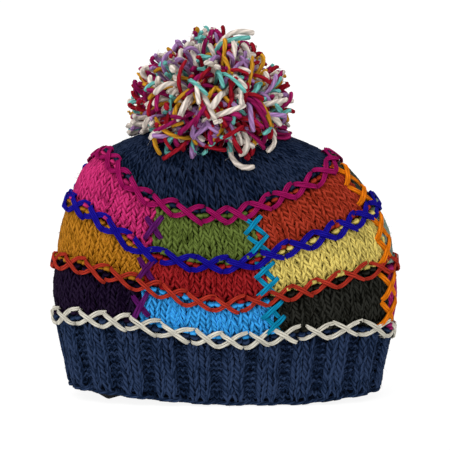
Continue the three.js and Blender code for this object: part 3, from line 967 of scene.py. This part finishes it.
# The band: heights above the rim and depths in millimetres, and the share of its height that loops fill
BAND = Named(foot=1.8, core_foot=0.4, depth=2.7, core_depths=(3.5, 5.4), fill=0.98, wander=0.6,
             shade_chance=0.2, seed=3)
# Strokes of the cast-on rim in millimetres, with the lap in stitches and the relief against the ribs
CAST_ON = Named(steps=7, lap=1.5, foot=1.3, climb=0.9, depth=2.6, arch=1.1, relief=0.7, thickness=0.92,
                shade=0.95, place_chance=0.06, shade_chance=0.14)


class HAT_OT_knit_band(bpy.types.Operator):
    """Knit the ribbed band: two loops out, two loops in"""
    bl_idname = "hat.knit_band"
    bl_label = "Knit band"

    def execute(self, context):
        knit = context.scene.hat_knit
        rng = np.random.default_rng(BAND.seed)
        piece = Piece()
        spill = knit.reach - 0.5
        rows = round(COURSES[0].front / RIB.row - 2 * spill)
        loops = Loops(knit, rows, STITCHES_AROUND, True, rng)
        along = loops.along + loops.uneven(BAND.wander * knit.wander)
        climb = loops.climb + loops.uneven(knit.wander)
        face = self.rib_face(along)
        turn = self.rib_turn(along)
        share = (climb + spill) / (rows + 2 * spill)
        foot = rise_at_height(BAND.foot * MM + rim_height(turn))
        rise = foot + (self.seam(turn) - foot) * np.clip(BAND.fill * share, 0, 1)
        proud = (RIB.relief * face - BAND.depth) * MM + knit.depth * loops.swing * face
        radius = knit.yarn * (1 + loops.uneven(THICKNESS_CHANCE))
        # Painted shade: loops deeper in the fabric are darker, most of all in the valleys between the ribs
        shade = 1 + loops.uneven(BAND.shade_chance) + PAINTED_SHADE_SWING * face * (0.5 + 0.5 * loops.swing)
        loops.knit_in(piece, turn, rise, proud, radius, shade)
        self.cast_on(piece, knit, rng)
        place = ring_field(lambda turn: rise_at_height(BAND.core_foot * MM + rim_height(turn)), self.seam)
        knit_core(piece, place, True, BAND.core_depths, columns=192, rows=8)
        edge_loops(piece, knit, place, STITCHES_AROUND, 1, -1, 0, rng)
        piece.make("band_knit", [wool(context, "navy")], "rib_band")
        return {"FINISHED"}

    @classmethod
    def cast_on(cls, piece, knit, rng):
        """Edge of the rim: a short stroke for each loop, which climbs a little and laps over the next."""
        column = (STITCHES_AROUND, 1)
        tau = np.linspace(0, 1, CAST_ON.steps)[None, :]
        stitch = np.arange(STITCHES_AROUND)[:, None] + rng.normal(0, CAST_ON.place_chance, column)
        along = stitch + CAST_ON.lap * (tau - 0.5)
        turn = cls.rib_turn(along)
        rise = rise_at_height(rim_height(turn) + (CAST_ON.foot + CAST_ON.climb * tau) * MM)
        relief = CAST_ON.relief * RIB.relief * cls.rib_face(along)
        proud = (relief - CAST_ON.depth + CAST_ON.arch * np.sin(math.pi * tau)) * MM
        path, normal = raised(turn, rise, proud)
        shade = CAST_ON.shade + rng.normal(0, CAST_ON.shade_chance, column)
        piece.sweep(path, normal, CAST_ON.thickness * knit.yarn, knit.sides, shade, flank_shade=knit.flank_shade)

    @staticmethod
    def seam(turn):
        return seam_rise(COURSES[0], turn)

    @staticmethod
    def rib_face(stitch):
        """1 on the loops that face out and -1 on those that face in: a squared-off sine over the repeat."""
        return np.tanh(RIB.edge * np.sin(TURN * stitch / RIB.repeat))

    @staticmethod
    def rib_turn(stitch):
        """Turn of a stitch. Those that face out spread and those that face in draw together: the cosine of
        the repeat is taken off."""
        wave = TURN / RIB.repeat
        return (stitch - RIB.swell / wave * np.cos(wave * stitch)) / STITCHES_AROUND


# The lining in millimetres, with the columns and rows of its grid
LINING = Named(depth=6.6, thickness=1.8, foot=0.7, top=40, columns=288, rows=14)
# Ripples that grow upwards: depth in millimetres, waves round the hat, and slant in radians
RIPPLE = Named(depth=0.25, waves=26, slant=3)
EDGE_ROUNDING = 16
# At the front left the lining hangs below the rim in a small corner
LINING_CORNER = Named(reach=-79, spread=12, drop=4.6)


class HAT_OT_line_band(bpy.types.Operator):
    """Line the band with fleece"""
    bl_idname = "hat.line_band"
    bl_label = "Line band"

    def execute(self, context):
        turn = np.linspace(0, 1, LINING.columns, endpoint=False)[None, :]
        share = np.linspace(0, 1, LINING.rows)[:, None]
        ripple = RIPPLE.depth * np.sin(TURN * RIPPLE.waves * turn + RIPPLE.slant * share) * share
        foot = self.foot(turn)
        height = foot + (LINING.top * MM - foot) * share
        rise = rise_at_height(height)
        turn = np.broadcast_to(turn, rise.shape)
        full = np.sqrt(np.clip(1 - (2 * share - 1) ** EDGE_ROUNDING, 0, 1))
        soft = 0.5 * LINING.thickness * full
        middle = LINING.depth + 0.5 * LINING.thickness
        skins = []
        for side in (-1, 1):
            points = raised(turn, rise, -(middle + ripple + side * soft) * MM)[0]
            points[..., 2] = height
            skins.append(points)
        piece = Piece()
        piece.wall(skins[0], skins[1], ring=True)
        lining = piece.make("lining_fleece", [fleece_material(context.scene.hat_colours.fleece)],
                            "lining_band")
        return {"FINISHED"}

    @staticmethod
    def foot(turn):
        """Height of the lower edge: just inside the rim, less a pointed drop at the corner."""
        sideways, forwards = oval(turn)
        away = np.abs(SECTIONS[0].half_width * sideways - LINING_CORNER.reach) / LINING_CORNER.spread
        hang = np.where(forwards > 0, LINING_CORNER.drop * MM * np.maximum(0, 1 - away), 0)
        return LINING.foot * MM + np.maximum(0, rim_height(turn) - hang)


# Sewing yarns: gap in radii, how far they draw together and thin at a stitch's ends, and spreads
SEWING = Named(gap=1.75, drawn=0.45, thinned=0.22, sway=0.12, thickness=0.06, shade=0.08)
# Depth of a stitch's ends under the hat's surface in millimetres, and the power by which it rises
STITCH_END = 4
ARCH_POWER = 0.8
# Share of a stitch at each end over which its yarns draw together no further
STITCH_TIP = 0.02


def lay_yarns(piece, stitching, turn, rise, height, arch, seam, rng):
    """Lay parallel yarns along each path on the hat: the path climbs from inside the fabric to its height
    by the arch. Each yarn is shifted sideways on the surface by an even step that grows less at the two
    ends, where the yarns are thinner too."""
    path, normal = raised(turn, rise, -STITCH_END * MM + (STITCH_END * MM + height) * arch)
    count, steps = path.shape[:2]
    across = unit(np.cross(unit(np.gradient(path, axis=1)), normal))
    share = np.linspace(0, 1, steps)
    full = np.sqrt(np.sin(math.pi * np.clip(share, STITCH_TIP, 1 - STITCH_TIP)))
    thick = stitching.yarn * seam.width
    for number in range(seam.yarns):
        offset = (number - (seam.yarns - 1) / 2) * SEWING.gap * thick
        sway = rng.normal(0, SEWING.sway, (count, 1)) * thick * np.sin(TURN * share)
        shifted = path + across * (offset * (1 - SEWING.drawn * (1 - full)) + sway)[..., None]
        radius = thick * (1 + rng.normal(0, SEWING.thickness, (count, 1)))
        radius = radius * (1 - SEWING.thinned * (1 - full))
        shade = 1 + rng.normal(0, SEWING.shade, (count, 1))
        piece.sweep(shifted, normal, radius, stitching.sides, shade, flank_shade=stitching.flank_shade)


# How far the stitches of a cross stand out, against the usual: the one under and the one over
ROW_LIFT = (0.7, 1.1)
COLUMN_LIFT = (0.3, 0.8)
# The two stitches of a row's cross, in pitches along and half heights up, and their spreads
UNDER = Named(length=1.36, shift=0, climb=0.84, level=0.15)
OVER = Named(length=0.92, shift=0.02, curve=0.3, straight=0.6, drop=0.13)
STITCH_CHANCE = 0.06
SHIFT_CHANCE = 0.4
ROW_ARCH_END = 0.12


def cross_offsets(stitching, rng, count, over):
    """One slanting stitch for each cross, in pitches along and half heights up. The stitch on top runs
    nearly straight down to the right. The one under it climbs as a flattened S that lies level at both of
    its ends. Both rise out of the fabric as a flattened arch."""
    tau = np.linspace(0, 1, stitching.steps)[None, :]
    jitter = rng.normal(0, STITCH_CHANCE, (count, 4, 1))
    stitch = OVER if over else UNDER
    x = (tau - 0.5) * (stitch.length + jitter[:, 0]) + stitch.shift + SHIFT_CHANCE * jitter[:, 2]
    if over:
        y = np.cos(math.pi * tau) * OVER.curve + (1 - 2 * tau) * OVER.straight - OVER.drop
    else:
        climb = np.clip((1 + 2 * UNDER.level) * tau - UNDER.level, 0, 1)
        y = -UNDER.climb * np.cos(math.pi * climb)
    y = y * (1 + jitter[:, 1]) + jitter[:, 3]
    arch = np.clip(np.minimum(tau, 1 - tau) / ROW_ARCH_END, 0, 1) ** ARCH_POWER
    return x, y, np.broadcast_to(arch, x.shape)


class HAT_OT_stitch_rows(bpy.types.Operator):
    """Sew crossed stitches along the seams between the rows"""
    bl_idname = "hat.stitch_rows"
    bl_label = "Stitch rows"

    def execute(self, context):
        stitching = context.scene.hat_stitching
        for number, (seam, course) in enumerate(zip(ROW_SEAMS, COURSES)):
            rng = np.random.default_rng(ROW_SEED + number)
            piece = Piece()
            crosses, pitch = cross_places(seam, rng)
            for over in (False, True):
                x, y, arch = cross_offsets(stitching, rng, len(crosses), over)
                turn = (crosses[:, None] + x * pitch[:, None]) / STITCHES_AROUND
                rise = seam_rise(course, turn)
                rise = rise + y * stitching.half_height / step_up(turn, rise)
                lay_yarns(piece, stitching, turn, rise, stitching.proud * ROW_LIFT[over], arch, seam, rng)
            piece.make(f"row_stitching_{number + 1}", [wool(context, seam.wool, **SEWING_TWIST)])
        return {"FINISHED"}


# Crosses of a column: the share of a patch's height below the first and the share that they fill, and the
# spread of their size
COLUMN_FOOT = 0.05
COLUMN_FILL = 0.84
COLUMN_CHANCE = 0.08
COLUMN_ARCH_END = 0.24
COLUMN_SEED = 61


class HAT_OT_stitch_columns(bpy.types.Operator):
    """Sew crossed stitches up the seams between the columns"""
    bl_idname = "hat.stitch_columns"
    bl_label = "Stitch columns"

    def execute(self, context):
        stitching = context.scene.hat_stitching
        for number, seam in enumerate(COLUMN_SEAMS):
            rng = np.random.default_rng(COLUMN_SEED + number)
            piece = Piece()
            for level in range(len(LEVELS)):
                self.sew(piece, stitching, number, level, seam, rng)
            piece.make(f"column_stitching_{number + 1}", [wool(context, seam.wool, **SEWING_TWIST)])
        return {"FINISHED"}

    @staticmethod
    def sew(piece, stitching, number, level, seam, rng):
        """Crosses at even shares of the seam, each of two stitches that slant opposite ways."""
        count = seam.crosses
        share = COLUMN_FOOT + COLUMN_FILL * (np.arange(count)[:, None] + 0.5) / count
        turn_at, centre = patch_field(number, level)(np.zeros((count, 1)), share)
        tau = np.linspace(-1, 1, stitching.steps)[None, :]
        arch = np.clip((1 - np.abs(tau)) / COLUMN_ARCH_END, 0, 1) ** ARCH_POWER
        for over in (False, True):
            slant = 1 if over else -1
            wide = seam.half_width * MM * (1 + rng.normal(0, COLUMN_CHANCE, (count, 1)))
            tall = seam.half_height * MM * (1 + rng.normal(0, COLUMN_CHANCE, (count, 1)))
            rise = centre + slant * tau * tall / step_up(turn_at, centre)
            turn = turn_at + tau * wide / step_round(turn_at, rise)
            lay_yarns(piece, stitching, turn, rise, stitching.proud * COLUMN_LIFT[over], arch, seam, rng)


GOLDEN = math.pi * (3 - math.sqrt(5))
POM_SEED = 31
# Which way strands spring: shares of the reach down and up that they fill, crowded upwards by a power,
# limits of the sine of their slope, and spreads of that and of their turn
SPRING = Named(low=0.5, high=0.99, crowding=0.85, least=-0.6, most=0.999, slope_chance=0.08,
               turn_chance=0.35)
# The side that a strand turns to: shares of swirl and chance, and ranges of the pull down
SIDE = Named(swirl=0.25, chance=0.55, front_pull=(0, 0.9), side_pull=(-0.7, 0.9))
SWIRL_WAVE = 3.2
SWIRL_PHASE = (1.3, 0.4, 2.1)
# How strands turn: angles in radians, less at the sides, by a power of the length, with a wavy sway
BEND = Named(angles=(0.1, 0.7), side_share=0.15, power=2.4, sway=0.035, waves=(0.8, 2.2))
# Where strands begin and end, as shares of the ball, and between which shares of its height it narrows
BALL = Named(root=0.4, ends=(0.74, 1.07), middle=0.97, top=0.24, narrows=(0.5, 0.95))
# Spreads of a strand's thickness and shade, its swelling, its last two rings, and the power that crowds
# its rings towards them
STRAND = Named(thickness=0.1, shade=0.10, swelling=0.07, rings=(0.95, 0.6), crowding=1.7)
STRAY_STEPS = 20
# How far the loose strand's middle lies off the crown, in radii
LOOSE_CLEARANCE = 2.2
# The tied middle: slopes in radians, its grid, sizes of its two skins as shares of the ball, and how far
# it lies off the crown, in millimetres
HEART = Named(low=-0.25, high=1.52, columns=32, rows=12, skins=(0.64, 0.5), clearance=0.5)


def strand_shares(pompom):
    """Shares of a strand's length, closer together towards its cut end."""
    return 1 - (1 - np.linspace(0, 1, pompom.steps)) ** STRAND.crowding


class HAT_OT_tie_pompom(bpy.types.Operator):
    """Tie the pompom: cut strands of yarn that spring from a core and flop over each other"""
    bl_idname = "hat.tie_pompom"
    bl_label = "Tie pompom"

    def execute(self, context):
        pompom = context.scene.hat_pompom
        rng = np.random.default_rng(POM_SEED)
        piece = Piece()
        weights = np.array([yarn.share for yarn in POM_YARNS])
        kinds = rng.choice(len(POM_YARNS), pompom.strands, p=weights / weights.sum())
        path = self.strands(pompom, rng)
        for kind, yarn in enumerate(POM_YARNS):
            own = [path[kinds == kind]]
            own += [self.stray(pompom, stray.points)[None] for stray in STRAYS if stray.yarn == kind]
            if kind == 0:
                own.append(self.loose(pompom)[None])
            self.spin(piece, pompom, np.concatenate(own), yarn.width, rng, kind)
        self.core(piece, pompom)
        materials = [wool(context, yarn.wool, **POM_TWIST) for yarn in POM_YARNS]
        materials.append(wool(context, "pom_heart"))
        piece.make("pompom_yarn", materials, "pompom")
        return {"FINISHED"}

    @staticmethod
    def centre(pompom):
        return np.array([CROWN_LEAN * MM, 0, pompom.middle])

    @staticmethod
    def spin(piece, pompom, path, width, rng, slot):
        """Yarns along the paths, kept clear of the crown. Their thickness swells as a sine of the length,
        and their ends are rounded."""
        count = len(path)
        share = strand_shares(pompom)[None, :]
        radius = pompom.yarn * width * (1 + rng.normal(0, STRAND.thickness, (count, 1)))
        swelling = STRAND.swelling * np.sin(TURN * (2 * share + rng.uniform(0, 1, (count, 1))))
        radius = radius * (1 + swelling)
        radius[:, -2:] *= STRAND.rings
        path[..., 2] = np.maximum(path[..., 2], crown_height(path[..., 0], path[..., 1]) + radius)
        normal = unit(np.cross(np.gradient(path, axis=1), rng.normal(0, 1, (count, 1, 3))))
        shade = 1 + rng.normal(0, STRAND.shade, (count, 1))
        skin = piece.sweep(path, normal, radius, pompom.sides, shade, slot=slot)
        piece.fibres(skin, pompom.fibres * count, pompom.fibre, rng, slot)

    @classmethod
    def strands(cls, pompom, rng):
        """Each strand springs from the core in its own direction, spread evenly by the golden angle and a
        little by chance. Towards its end it turns to a side that is part swirl, part chance and part down,
        by an angle that grows faster than its length and is largest at the front and back. Its distance
        from the middle grows ever more slowly, and it sways a little across its way."""
        count = pompom.strands
        low, high = SPRING.low * pompom.below, SPRING.high * pompom.above
        rise = -low + (low + high) * np.linspace(0, 1, count) ** SPRING.crowding
        up = rise / np.where(rise > 0, pompom.above, pompom.below)
        up = np.clip(up + rng.normal(0, SPRING.slope_chance, count), SPRING.least, SPRING.most)
        spin = np.arange(count) * GOLDEN + rng.normal(0, SPRING.turn_chance, count)
        flat = np.sqrt(1 - up * up)
        outward = np.stack([np.cos(spin) * flat, np.sin(spin) * flat, up], -1)
        swirl = np.sin(SWIRL_WAVE * np.roll(outward, 1, axis=-1) + np.array(SWIRL_PHASE))
        side = SIDE.swirl * swirl + SIDE.chance * rng.normal(0, 1, (count, 3))
        facing = np.abs(outward[:, 1])
        side[:, 2] -= (rng.uniform(*SIDE.front_pull, count) * facing
                       + rng.uniform(*SIDE.side_pull, count) * (1 - facing))
        side = unit(side - outward * np.sum(side * outward, -1, keepdims=True))
        across = np.cross(outward, side)
        tau = strand_shares(pompom)[None, :, None]
        angle = rng.uniform(*BEND.angles, count) * (BEND.side_share + (1 - BEND.side_share) * facing)
        bend = angle[:, None, None] * tau ** BEND.power
        one = (count, 1, 1)
        sway = rng.normal(0, BEND.sway, one) * np.sin(math.pi * tau * rng.uniform(*BEND.waves, one)) * tau
        heading = outward[:, None] * np.cos(bend) + side[:, None] * np.sin(bend) + across[:, None] * sway
        far = rng.uniform(*BALL.ends, one) * (BALL.root + (1 - BALL.root) * (1 - (1 - tau) ** 2))
        height = heading[..., 2:]
        tall = np.where(height > 0, pompom.above, pompom.below)
        wide = pompom.side * (BALL.middle - BALL.top * smooth_step(height, *BALL.narrows))
        return cls.centre(pompom) + heading * np.concatenate([wide, wide, tall], -1) * far

    @staticmethod
    def stray(pompom, points):
        """Smooth curve through the points of one strand, at the shares of its length."""
        curve = centripetal_curve(np.array(points, float) * MM, STRAY_STEPS)
        share = length_shares(curve)
        return np.stack([np.interp(strand_shares(pompom), share, curve[:, k]) for k in range(3)], -1)

    @classmethod
    def loose(cls, pompom):
        """The loose strand: its places across and up, moved out to the front of the crown."""
        across, up = np.array(LOOSE_STRAND).T * MM
        half_width, half_depth, height = section_at(rise_at_height(up))
        share = np.clip(np.abs(across - lean_at(height)) / half_width, 0, 1)
        depth = half_depth * (1 - share ** SQUARENESS) ** (1 / SQUARENESS) + LOOSE_CLEARANCE * pompom.yarn
        return cls.stray(pompom, np.stack([across, -depth, up], -1) / MM)

    @classmethod
    def core(cls, piece, pompom):
        """Tied middle of the pompom: a ball shell, closed near its poles, in a dark red that is painted
        shade for the shade deep among the strands.
        """
        turn = np.linspace(0, TURN, HEART.columns, endpoint=False)[None, :]
        lift = np.linspace(HEART.low, HEART.high, HEART.rows)[:, None]
        ball = np.stack(np.broadcast_arrays(
            np.cos(turn) * np.cos(lift) * pompom.side, np.sin(turn) * np.cos(lift) * pompom.side,
            np.sin(lift) * pompom.above), -1)
        outer, inner = [cls.centre(pompom) + share * ball for share in HEART.skins]
        for skin in (outer, inner):
            floor = crown_height(skin[..., 0], skin[..., 1]) + HEART.clearance * MM
            skin[..., 2] = np.maximum(skin[..., 2], floor)
        # Painted shade darkens the shell further
        piece.wall(outer, inner, CORE_PAINTED_SHADE, ring=True, slot=len(POM_YARNS))


# The picture's width in pixels and the camera's sensor in millimetres
PICTURE_WIDTH = 450
SENSOR_WIDTH = 36
# The key light: where it stands, how far it spreads in radians, and its strength
KEY_LIGHT = Named(place=(-0.5, -0.9, 1.3), spread=math.radians(60), strength=1.7)
SKY_STRENGTH = 0.75
WHITE = (1, 1, 1, 1)
FLOOR_RINGS = 24
FLOOR_SIDES = 64
FLOOR_HUB = 0.02


class HAT_OT_set_stage(bpy.types.Operator):
    """Set the floor, the lights and the camera"""
    bl_idname = "hat.set_stage"
    bl_label = "Set stage"

    def execute(self, context):
        stage = context.scene.hat_stage
        self.floor(context, stage)
        self.light(context, "key_light", KEY_LIGHT)
        self.camera(context, stage)
        world = bpy.data.worlds.new("studio")
        world.use_nodes = True
        background = world.node_tree.nodes["Background"].inputs
        background["Color"].default_value = WHITE
        background["Strength"].default_value = SKY_STRENGTH
        context.scene.world = world
        context.scene.view_settings.view_transform = "Standard"
        return {"FINISHED"}

    @staticmethod
    def floor(context, stage):
        """Round floor: rings of points whose radius grows by the square of their number."""
        ring = np.linspace(FLOOR_HUB, 1, FLOOR_RINGS)[:, None] ** 2 * stage.floor_radius
        turn = np.linspace(0, TURN, FLOOR_SIDES, endpoint=False)[None, :]
        points = np.stack(np.broadcast_arrays(ring * np.cos(turn), ring * np.sin(turn), 0.0), -1)
        row, column = np.meshgrid(np.arange(FLOOR_RINGS - 1), np.arange(FLOOR_SIDES), indexing="ij")
        here, ahead = row * FLOOR_SIDES, (column + 1) % FLOOR_SIDES
        there = here + FLOOR_SIDES
        quads = np.stack([here + column, there + column, there + ahead, here + ahead], -1)
        hub = list(range(FLOOR_SIDES))
        mesh = bpy.data.meshes.new("floor")
        mesh.from_pydata(points.reshape(-1, 3), [], [*quads.reshape(-1, 4).tolist(), hub])
        nodes = Nodes("floor_card")
        grain = nodes.noise(nodes.spot(), scale=40.0, detail=3.0)
        colour = context.scene.hat_colours.floor
        mesh.materials.append(nodes.coat({
            "Base Color": nodes.ramp(grain, (0, tone(colour, 0.99)), (1, tone(colour, 1.01))),
            "Roughness": 0.9,
            "Specular IOR Level": 0.1,
            "Emission Color": WHITE,
            "Emission Strength": stage.floor_glow,
        }))
        floor = bpy.data.objects.new("floor", mesh)
        context.scene.collection.objects.link(floor)

    @staticmethod
    def light(context, name, lamp):
        """Even light over the whole floor, as from a large bright wall in one direction."""
        sun = bpy.data.lights.new(name, "SUN")
        sun.angle = lamp.spread
        sun.energy = lamp.strength
        holder = bpy.data.objects.new(name, sun)
        holder.location = lamp.place
        x, y, z = lamp.place
        holder.rotation_euler = (math.atan2(math.hypot(x, y), z), 0, math.atan2(y, x) + math.pi / 2)
        context.scene.collection.objects.link(holder)

    @staticmethod
    def camera(context, stage):
        """Camera at the picture's angle, with a lens that gives the picture's scale over its width."""
        lens = bpy.data.cameras.new("camera")
        lens.sensor_width = SENSOR_WIDTH
        lens.lens = lens.sensor_width * stage.distance / (stage.scale * PICTURE_WIDTH)
        camera = bpy.data.objects.new("camera", lens)
        camera.location = (0, -stage.distance * math.cos(stage.elevation),
                           stage.aim + stage.distance * math.sin(stage.elevation))
        camera.rotation_euler = (math.pi / 2 - stage.elevation, 0, 0)
        context.scene.collection.objects.link(camera)
        context.scene.camera = camera


class HAT_PT_panel(bpy.types.Panel):
    """Sizes and colours of the hat, and a button for each group of pieces"""
    bl_idname = "HAT_PT_panel"
    bl_label = "Patchwork hat"
    bl_space_type = "VIEW_3D"
    bl_region_type = "UI"
    bl_category = "Hat"

    def draw(self, context):
        for settings in SETTINGS:
            group = getattr(context.scene, settings)
            for name in group.__annotations__:
                self.layout.prop(group, name)
        for operator in OPERATORS:
            self.layout.operator(operator.bl_idname)


SETTINGS = {
    "hat_knit": HatKnit,
    "hat_stitching": HatStitching,
    "hat_pompom": HatPompom,
    "hat_colours": HatColours,
    "hat_stage": HatStage,
}
OPERATORS = (
    HAT_OT_knit_band,
    HAT_OT_line_band,
    HAT_OT_knit_patches,
    HAT_OT_knit_crown,
    HAT_OT_stitch_rows,
    HAT_OT_stitch_columns,
    HAT_OT_tie_pompom,
    HAT_OT_set_stage,
)


def register():
    for group in (*SETTINGS.values(), *OPERATORS, HAT_PT_panel):
        bpy.utils.register_class(group)
    for name, group in SETTINGS.items():
        setattr(bpy.types.Scene, name, PointerProperty(type=group))


def unregister():
    for name in SETTINGS:
        delattr(bpy.types.Scene, name)
    for group in reversed((*SETTINGS.values(), *OPERATORS, HAT_PT_panel)):
        bpy.utils.unregister_class(group)


def main():
    register()
    bpy.ops.hat.knit_band()
    bpy.ops.hat.line_band()
    bpy.ops.hat.knit_patches()
    bpy.ops.hat.knit_crown()
    bpy.ops.hat.stitch_rows()
    bpy.ops.hat.stitch_columns()
    bpy.ops.hat.tie_pompom()
    bpy.ops.hat.set_stage()


if __name__ == "__main__":
    main()
